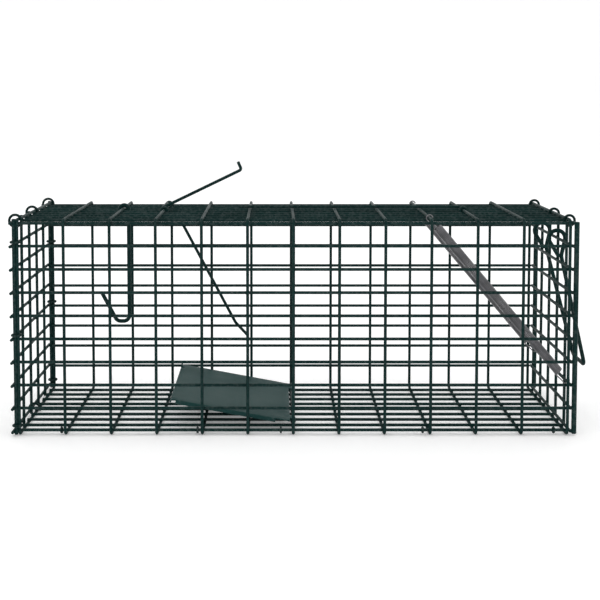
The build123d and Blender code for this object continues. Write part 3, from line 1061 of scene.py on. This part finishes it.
@dataclass
class Bail:
    """The bail: one wire that ends in a teardrop eye at the top of each leg."""

    door: Door = field(default_factory=Door)
    wire: float = 3.4
    centre_y: float = 9.5
    eye_span: float = 64.0
    bar_span: float = 43.0
    reach: float = 121.8
    lean: float = 13.9
    eye_radius: float = 7.2
    eye_length: float = 16.4
    eye_drop: float = 0.5
    bend: float = 7.0

    def _at(self, aside: float, down: float, y: float) -> Vector:
        """A point of the leaning bail.

        Args:
            aside: Distance out of the bail's plane.
            down: Distance down the leg from the wire it hangs on.
            y: Place across the trap.

        Returns:
            The point.
        """
        lean = radians(self.lean)
        hang = self.door.grid.level_z(self.door.grid.side_levels)
        x = self.door.x + down * sin(lean) + aside * cos(lean)
        return Vector((x, y, hang - down * cos(lean) + aside * sin(lean)))

    def _eye(self, side: Side) -> list[Vector]:
        """One teardrop eye, from its cut end round the top and back to the leg.

        Args:
            side: Which leg it ends.

        Returns:
            The points of the eye, ending where the leg runs straight.
        """
        y = self.centre_y + side.value * self.eye_span / 2
        foot = self.eye_drop + self.eye_length
        half = asin(self.eye_radius / self.eye_length) * 180 / pi
        aside = (self._at(1, 0, y) - self._at(0, 0, y)).normalized()
        up = (self._at(0, 0, y) - self._at(0, 1, y)).normalized()
        crown = turn_path(self._at(0, self.eye_drop, y), -aside, up, self.eye_radius, -half, 180 + half, 26)
        end = self._at(0, self.reach, self.centre_y + side.value * self.bar_span / 2)
        neck = self._at(0, foot, y)
        turn = bent_path([crown[-1], neck, neck + (end - neck).normalized() * 14], 9.0)
        return [self._at(-2.1, foot + 0.5, y), *crown[:-1], *turn[:-1]]

    def build(self) -> None:
        """Make and hang the bail."""
        near, far = self._eye(Side.NEAR), self._eye(Side.FAR)
        bar = [self._at(0, self.reach, self.centre_y + side.value * self.bar_span / 2) for side in Side]
        path = near[:-1] + bent_path([near[-1], *bar, far[-1]], self.bend) + list(reversed(far[:-1]))
        work = WireWork("bail")
        work.wire(path, self.wire, sides=18)
        mount(work.piece(LEVER_COAT), Body.BAIL, Slot.LEVER_WIRE, "bail")


# ---- the roof's rod, lever and hook ------------------------------------------------


@dataclass(frozen=True)
class PivotWind:
    """A close-wound pivot coil round a ring wire."""

    x: float
    z: float
    radius: float = 2.56

    def point(self, angle: float, y: float) -> Vector:
        """A point of the coil.

        Args:
            angle: Degrees from the top, turning toward the door.
            y: Place along the ring wire.

        Returns:
            The point on the coil's centreline.
        """
        a = radians(angle)
        return Vector((self.x + self.radius * sin(a), y, self.z + self.radius * cos(a)))

    def wind(self, start: float, turned: float, first_y: float, last_y: float) -> list[Vector]:
        """The coil's centreline.

        Args:
            start: Angle of the first point, in degrees.
            turned: Degrees that the wire goes round, negative for the other way.
            first_y: Where it starts along the ring wire.
            last_y: Where it ends.

        Returns:
            The points along the coil.
        """
        steps = max(8, int(abs(turned) / 15))
        return [
            self.point(start + turned * i / steps, first_y + (last_y - first_y) * i / steps)
            for i in range(steps + 1)
        ]


@dataclass
class HoldDownRod:
    """The straight rod that lies on the roof and holds the bail's bar down."""

    grid: CageGrid = GRID
    wire: float = 2.6
    ring: int = 10
    length: float = 206.0
    y: float = 6.1
    rise: float = 2.9
    turned: float = 865.0
    coil_end: float = -0.15

    def build(self) -> None:
        """Make and hang the rod with its pivot coil."""
        x, z = self.grid.ring_x(self.ring), self.grid.roof
        coil = PivotWind(x, z)
        level = z + self.rise
        path = [Vector((x - self.length, self.y, level)), Vector((x - 14, self.y, level))]
        path += eased_path(path[-1], Vector((13, 0, 0)), coil.point(0, self.y), Vector((13, 0, 0)), 6)[1:]
        path += coil.wind(0, self.turned, self.y, self.coil_end)[1:]
        work = WireWork("hold_down_rod")
        work.wire(path, self.wire, sides=16)
        mount(work.piece(LEVER_COAT), Body.ROD, Slot.LEVER_WIRE, "hold_down_rod")


@dataclass
class TripLever:
    """The bell-crank lever: outer arm with upturned tip, spine, inner arm and toe."""

    grid: CageGrid = GRID
    wire: float = 2.6
    ring: int = 3
    lift: float = 25.8
    outer: float = 80.0
    outer_y: float = 6.1
    inner_y: float = 58.5
    drop: float = 62.1
    inner: float = 130.8
    toe: float = 17.6
    toe_drop: float = 47.1
    tip: float = 8.0
    tip_turn: float = 88.0
    coil_run: float = 6.15
    outer_turned: float = 845.0
    inner_turned: float = 720.0

    def build(self) -> None:
        """Make and hang the lever."""
        coil = PivotWind(self.grid.ring_x(self.ring), self.grid.roof)
        work = WireWork("trip_lever")
        work.wire(self._outer_path(coil), self.wire, sides=16)
        work.wire(self._inner_path(coil), self.wire, sides=16)
        root = coil.point(-self.lift, self.outer_y)
        work.nugget(root + Vector((0, 1.0, 0)), (1.75, 2.1, 1.75))
        mount(work.piece(LEVER_COAT), Body.LEVER, Slot.LEVER_WIRE, "trip_lever")

    def _outer_path(self, coil: PivotWind) -> list[Vector]:
        """The upturned tip, the outer arm and the near coil, as one wire.

        Args:
            coil: The coil that the arm leaves.

        Returns:
            The points along the wire.
        """
        root = coil.point(-self.lift, self.outer_y)
        lift, turn = radians(self.lift), radians(self.lift + self.tip_turn)
        bend = root + Vector((cos(lift), 0, sin(lift))) * self.outer
        tip = bend + Vector((cos(turn), 0, sin(turn))) * self.tip
        arm = bent_path([tip, bend, root], 2.2)
        coil_end = self.outer_y - self.coil_run
        return arm + coil.wind(-self.lift, -self.outer_turned, self.outer_y, coil_end)[1:]

    def _inner_path(self, coil: PivotWind) -> list[Vector]:
        """The spine, the far coil, the inner arm and the toe, as one wire.

        Args:
            coil: The coil that the inner arm leaves.

        Returns:
            The points along the wire.
        """
        first = self.inner_y - self.coil_run
        turned = self.lift + self.drop + self.inner_turned
        wound = coil.wind(-self.lift, turned, first, self.inner_y)
        drop, low = radians(self.drop), radians(self.toe_drop)
        elbow = wound[-1] + Vector((cos(drop), 0, -sin(drop))) * self.inner
        end = elbow + Vector((cos(low), 0, -sin(low))) * self.toe
        spine = eased_path(
            coil.point(-self.lift, first - 5.0),
            Vector((0, 6.0, 0)),
            wound[1],
            (wound[2] - wound[0]).normalized() * 2.2,
            8,
        )
        start = [coil.point(-self.lift, self.outer_y)]
        return start + spine[:-1] + wound[1:-1] + bent_path([wound[-1], elbow, end], 8.0)


@dataclass
class BaitHook:
    """The J-shaped hook that hangs from a roof wire."""

    grid: CageGrid = GRID
    wire: float = 3.4
    ring: int = 2
    y: float = 18.5
    arch: float = 4.05
    bottom: float = 80.2
    bend: float = 5.5
    tip_back: float = 21.0
    tip_height: float = 107.0

    def build(self) -> None:
        """Make and hang the bait hook."""
        x, z = self.grid.ring_x(self.ring), self.grid.roof
        middle = Vector((x + 0.6, self.y, z - 0.8))
        shank = middle.x + self.arch
        crown = turn_path(middle, Vector((-1, 0, 0)), Vector((0, 0, 1)), self.arch, 0, 180, 18)
        nose = Vector((middle.x - self.arch, self.y, middle.z - 4.0))
        lower = bent_path(
            [
                crown[-1],
                Vector((shank, self.y, self.bottom)),
                Vector((shank - 11.5, self.y, self.bottom)),
                Vector((x - self.tip_back, self.y, self.tip_height)),
            ],
            self.bend,
        )
        work = WireWork("bait_hook")
        work.wire([nose, *crown[:-1], *lower], self.wire, sides=18)
        mount(work.piece(LEVER_COAT), Body.HOOK, Slot.LEVER_WIRE, "bait_hook")


# ---- the treadle -------------------------------------------------------------------


@dataclass
class Treadle:
    """The tilting plate with folded edges, its curled lugs, and its hinge rod."""

    grid: CageGrid = GRID
    ring: int = 6
    tilt: float = 10.5
    length: float = 109.4
    width: float = 143.0
    sheet: float = 1.2
    start: float = 3.2
    rim: float = 3.4
    fold: float = 1.9
    play: float = 0.06
    lug_width: float = 10.0
    catch_y: float = 58.5
    catch_width: float = 6.0
    catch_height: float = 4.0

    @property
    def bore(self) -> float:
        """Radius of the hole in each lug, and the height of the plate's underside."""
        return self.grid.wire / 2 + self.play

    @property
    def skin(self) -> float:
        """Height of the plate's upper face above the hinge axis, square to it."""
        return self.bore + self.sheet

    @property
    def lug_y(self) -> float:
        """Distance of each lug from the middle, half way between two floor wires."""
        return -(3 * self.grid.floor_y(1) - self.grid.floor_y(0)) / 2

    @property
    def quarter(self) -> list[tuple[float, float]]:
        """A fold's quarter turn: how far out and how far up or down at each step."""
        turns = [radians(a) for a in range(0, 91, 15)]
        return [(self.fold * sin(a), self.fold * (1 - cos(a))) for a in turns]

    def _at(self, u: float, v: float, y: float) -> Vector:
        """A point of the tilted plate.

        Args:
            u: Distance from the hinge axis, along the plate.
            v: Height above the hinge axis, square to the plate.
            y: Place across the trap.

        Returns:
            The point, in metres.
        """
        t = radians(self.tilt)
        x, z = self.grid.ring_x(self.ring), self.grid.level_z(0) + self.grid.contact
        return Vector((x - u * cos(t) + v * sin(t), y, z + u * sin(t) + v * cos(t))) * MILLIMETRE

    def build(self) -> None:
        """Make and hang the hinge rod and the plate."""
        reach = self.width / 2 + 9.0
        x, z = self.grid.ring_x(self.ring), self.grid.level_z(0) + self.grid.contact
        rod = WireWork("treadle_hinge_rod")
        rod.wire([Vector((x, -reach, z)), Vector((x, reach, z))], self.grid.wire)
        for index in range(1, self.grid.floor_cells):
            rod.nugget(Vector((x, self.grid.floor_y(index), z - self.grid.contact / 2)), (1.6, 1.6, 1.1))
        mount(rod.piece(MESH_COAT), Body.CAGE, Slot.MESH_WIRE, "treadle_hinge_rod")
        mount(self._plate(), Body.TREADLE, Slot.SHEET, "treadle_plate")

    def _profiles(self, y: float) -> tuple[list[tuple[float, float]], list[tuple[float, float]]]:
        """What the sheet does beyond the hinge edge and the free edge at one place.

        Args:
            y: Place across the trap.

        Returns:
            The lug's curl and the free edge's fold, as rows of (u, v).
        """
        curl: list[tuple[float, float]] = []
        if abs(abs(y) - self.lug_y) <= self.lug_width / 2 + 0.01:
            curl = [(0.8, self.skin)]
            curl += [
                (self.skin * cos(radians(a)), self.skin * sin(radians(a))) for a in range(90, 371, 14)
            ]
        if abs(y - self.catch_y) <= self.catch_width / 2 + 0.01:
            inner = self.length - self.sheet
            edge = [(inner - self.fold + out, self.skin + rise) for out, rise in self.quarter]
            edge += [(inner, self.skin + self.catch_height * s) for s in (0.55, 1.0)]
        else:
            edge = [(self.length - self.fold + out, self.skin - drop) for out, drop in self.quarter]
            edge += [(self.length, self.skin - self.rim)]
        return curl, edge

    def _stations(self) -> list[float]:
        """Places across the plate, with one at each edge of the lugs and the catch.

        Returns:
            The places, from near to far.
        """
        half = self.width / 2
        marks = {-half + self.fold, half - self.fold}
        lugs = [(self.lug_y, self.lug_width), (-self.lug_y, self.lug_width)]
        for centre, wide in [*lugs, (self.catch_y, self.catch_width)]:
            marks |= {centre - wide / 2, centre + wide / 2}
        rows = sorted(marks)
        filled = [rows[0]]
        for here, there in zip(rows, rows[1:]):
            parts = max(1, round((there - here) / 6))
            filled += [here + (there - here) * k / parts for k in range(1, parts + 1)]
        return filled

    def _plate(self) -> bpy.types.Object:
        """The plate, folded from one sheet.

        Returns:
            The plate's object.
        """
        mesh = bmesh.new()
        rows = self._stations()
        last = self.length - self.fold - self.sheet - 2.0
        flat = [self.start + (last - self.start) * k / 16 for k in range(17)]
        known: dict[tuple[float, float, float], bmesh.types.BMVert] = {}

        def corner(u: float, v: float, y: float) -> bmesh.types.BMVert:
            """The vertex at a place on the plate, made once.

            Args:
                u: Distance from the hinge axis, along the plate.
                v: Height above the hinge axis, square to the plate.
                y: Place across the trap.

            Returns:
                The vertex.
            """
            key = (round(u, 3), round(v, 3), round(y, 3))
            if key not in known:
                known[key] = mesh.verts.new(self._at(u, v, y))
            return known[key]

        def strip(profile: list[tuple[float, float]], near: float, far: float) -> None:
            """Faces along a profile between two places across the plate.

            Args:
                profile: Rows of (u, v) along it.
                near: The place nearer the near side.
                far: The place nearer the far side.
            """
            for (u0, v0), (u1, v1) in zip(profile, profile[1:]):
                ends = (corner(u0, v0, near), corner(u0, v0, far), corner(u1, v1, far), corner(u1, v1, near))
                mesh.faces.new(ends)

        for near, far in zip(rows, rows[1:]):
            curl, edge = self._profiles((near + far) / 2)
            strip([(u, self.skin) for u in flat] + edge, near, far)
            if curl:
                strip(list(reversed(curl)) + [(flat[0], self.skin)], near, far)
        half = self.width / 2
        for side in Side:
            fold = [(side.value * (half - self.fold + out), self.skin - drop) for out, drop in self.quarter]
            fold.append((side.value * half, self.skin - self.rim))
            for (y0, v0), (y1, v1) in zip(fold, fold[1:]):
                for u0, u1 in zip(flat[2:], flat[3:]):
                    ring = [corner(u0, v0, y0), corner(u1, v0, y0), corner(u1, v1, y1), corner(u0, v1, y1)]
                    mesh.faces.new(ring if side is Side.FAR else list(reversed(ring)))
        bmesh.ops.recalc_face_normals(mesh, faces=mesh.faces)
        top = max(mesh.faces, key=lambda f: f.calc_area())
        if top.normal.z < 0:
            bmesh.ops.reverse_faces(mesh, faces=mesh.faces)
        for face in mesh.faces:
            face.smooth = True
        data = bpy.data.meshes.new("treadle_plate_sheet")
        mesh.to_mesh(data)
        mesh.free()
        made = bpy.data.objects.new("treadle_plate_sheet", data)
        bpy.context.scene.collection.objects.link(made)
        data.materials.append(SHEET_COAT.material())
        thick = made.modifiers.new("sheet_thickness", "SOLIDIFY")
        thick.thickness, thick.offset = self.sheet * MILLIMETRE, -1.0
        thick.use_even_offset = True
        soft = made.modifiers.new("sheared_edges", "BEVEL")
        soft.width, soft.segments, soft.limit_method = 0.0002, 2, "ANGLE"
        soft.angle_limit = radians(50)
        settle(made)
        return made


def settle(made: bpy.types.Object) -> None:
    """Turn a piece's modifiers into plain mesh, so that what is seen is what is there.

    Args:
        made: The piece, in place and with its modifiers on.
    """
    bpy.context.view_layer.update()
    graph = bpy.context.evaluated_depsgraph_get()
    data = bpy.data.meshes.new_from_object(made.evaluated_get(graph))
    made.modifiers.clear()
    made.data = data


# ---- the door springs --------------------------------------------------------------


@dataclass
class DoorSpring:
    """A close-wound extension spring between the roof and the door."""

    side: Side
    door: Door = field(default_factory=Door)
    ring: int = 9
    y: float = 68.4
    diameter: float = 8.0
    wire: float = 1.1
    hook_radius: float = 2.6
    top_stem: float = 10.0
    end_stem: float = 10.5
    door_level: int = 2
    packing: float = 0.995

    def build(self) -> None:
        """Make the coil with its roof hook, and hang the lower hook on the spring's end."""
        grid, y = self.door.grid, self.side.value * self.y
        label = "near_spring" if self.side is Side.NEAR else "far_spring"
        top = Vector((grid.ring_x(self.ring), y, grid.roof))
        low = Vector((self.door.x, y, grid.level_z(self.door_level)))
        run = (low - top).normalized()
        aside = Vector((-run.z, 0, run.x))
        start, end = top + run * self.top_stem, low - run * self.end_stem
        radius = (self.diameter - self.wire) / 2
        length = (end - start).length - self.wire
        turns = round(length / self.wire * self.packing)
        across = Vector((0, 1, 0))
        steps = 14
        first = start + run * self.wire / 2
        helix = [
            first
            + run * length * i / (turns * steps)
            + (-aside * cos(2 * pi * i / steps) + across * sin(2 * pi * i / steps)) * radius
            for i in range(turns * steps + 1)
        ]
        upper = self._hook(top, run, aside, helix[1], (helix[0] - helix[2]).normalized())
        lower = self._hook(low, -run, aside, helix[-1], (helix[-1] - helix[-2]).normalized())
        coil = WireWork(f"{label}_coil", coat=0.0)
        coil.wire(list(reversed(upper)) + helix[2:], self.wire, sides=8)
        made = coil.piece(SPRING_STEEL)
        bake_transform(made)
        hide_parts(f"{label}_coil")
        log.info("%s bends between %s and its end", made.name, label)
        hook = WireWork(f"{label}_lower_hook", coat=0.0)
        hook.wire(lower, self.wire, sides=12)
        piece = hook.piece(SPRING_STEEL)
        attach(piece, f"{label}_end")
        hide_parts(f"{label}_lower_hook")
        log.info("%s rides on %s_end", piece.name, label)

    def _hook(
        self, eye: Vector, inward: Vector, aside: Vector, coil_end: Vector, heading: Vector
    ) -> list[Vector]:
        """A hook that leaves the last turn of the coil and goes round a wire.

        Args:
            eye: Centre of the wire that it hooks on.
            inward: Direction from the eye to the coil.
            aside: Direction square to the spring, in the plane of the hook.
            coil_end: Where the coil's wire ends.
            heading: The wire's direction there, away from the coil.

        Returns:
            The points from the coil to the hook's cut end.
        """
        begin = eye - aside * self.hook_radius
        neck = eased_path(coil_end, heading * 5.0, begin, -inward * 9.0, 14)
        loop = turn_path(eye, -aside, -inward, self.hook_radius, 0, 180, 16)
        back = eye + aside * self.hook_radius * 0.9 + inward * 1.5
        return neck[:-1] + loop + [back]


# ---- the studio --------------------------------------------------------------------


@dataclass
class Studio:
    """Pale paper floor, soft lights and the camera."""

    lens: float = 76.27
    camera_place: tuple[float, float, float] = (-0.0282, -1.1605, 0.2972)
    camera_pitch: float = 4.0
    shift: tuple[float, float] = (0.0414, -0.2038)
    sky: float = 0.72

    def build(self) -> None:
        """Set up the whole studio."""
        self.paper()
        self.lights()
        self.camera()
        log.info("studio is set")

    def paper(self) -> None:
        """The floor, swept up into a backdrop far behind the trap."""
        mesh = bmesh.new()
        profile = [(-6.0, 0.0), (3.0, 0.0)]
        profile += [(3.0 + 1.2 * sin(radians(a)), 1.2 * (1 - cos(radians(a)))) for a in range(6, 91, 6)]
        profile += [(4.2, 7.0)]
        rows = [[mesh.verts.new((x, y, z - 0.0002)) for x in (-9.0, 9.0)] for y, z in profile]
        for here, there in zip(rows, rows[1:]):
            mesh.faces.new((here[0], here[1], there[1], there[0])).smooth = True
        data = bpy.data.meshes.new("studio_paper")
        mesh.to_mesh(data)
        mesh.free()
        sheet = bpy.data.objects.new("studio_paper", data)
        bpy.context.scene.collection.objects.link(sheet)
        data.materials.append(PAPER.material())

    def lights(self) -> None:
        """A pale sky and three large soft boxes."""
        world = bpy.data.worlds.new("studio_sky")
        bpy.context.scene.world = world
        world.use_nodes = True
        background = world.node_tree.nodes["Background"]
        background.inputs["Color"].default_value = (1.0, 1.0, 1.0, 1.0)
        background.inputs["Strength"].default_value = self.sky
        self._soft_box("key_box", (-1.3, -1.5, 1.9), 1.6, 9.0)
        self._soft_box("fill_box", (1.7, -1.2, 1.2), 1.4, 3.0)
        self._soft_box("top_box", (0.1, 0.9, 2.4), 2.4, 12.0)
        bpy.context.scene.view_settings.view_transform = "Standard"

    def _soft_box(self, name: str, place: tuple[float, float, float], size: float, power: float) -> None:
        """Hang one square soft box, facing the trap.

        Args:
            name: The light's name.
            place: Where it hangs, in metres.
            size: Length of its side, in metres.
            power: Its power in watts.
        """
        lamp = bpy.data.lights.new(name, "AREA")
        lamp.shape, lamp.size, lamp.energy = "SQUARE", size, power
        box = bpy.data.objects.new(name, lamp)
        box.location = place
        aim = Vector((0.0, 0.0, 0.09)) - Vector(place)
        box.rotation_euler = aim.to_track_quat("-Z", "Y").to_euler()
        bpy.context.scene.collection.objects.link(box)

    def camera(self) -> None:
        """The camera, level across and looking slightly down along +Y."""
        data = bpy.data.cameras.new("camera")
        data.lens, data.sensor_width = self.lens, 36.0
        data.shift_x, data.shift_y = self.shift
        data.clip_start, data.clip_end = 0.05, 60.0
        camera = bpy.data.objects.new("camera", data)
        camera.location = self.camera_place
        camera.rotation_euler = (radians(90.0 - self.camera_pitch), 0.0, 0.0)
        bpy.context.scene.collection.objects.link(camera)
        bpy.context.scene.camera = camera


def main() -> None:
    """Build the trap from the cage outward, then the studio."""
    logging.basicConfig(level=logging.INFO, format="%(name)s: %(message)s")
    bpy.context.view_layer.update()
    door = Door()
    for part in (
        MeshSleeve(),
        RearPanel(),
        door,
        Bail(door),
        HoldDownRod(),
        TripLever(),
        BaitHook(),
        Treadle(),
        DoorSpring(Side.NEAR, door),
        DoorSpring(Side.FAR, door),
        Studio(),
    ):
        log.info("building %s", type(part).__name__)
        part.build()


if __name__ == "__main__":
    main()
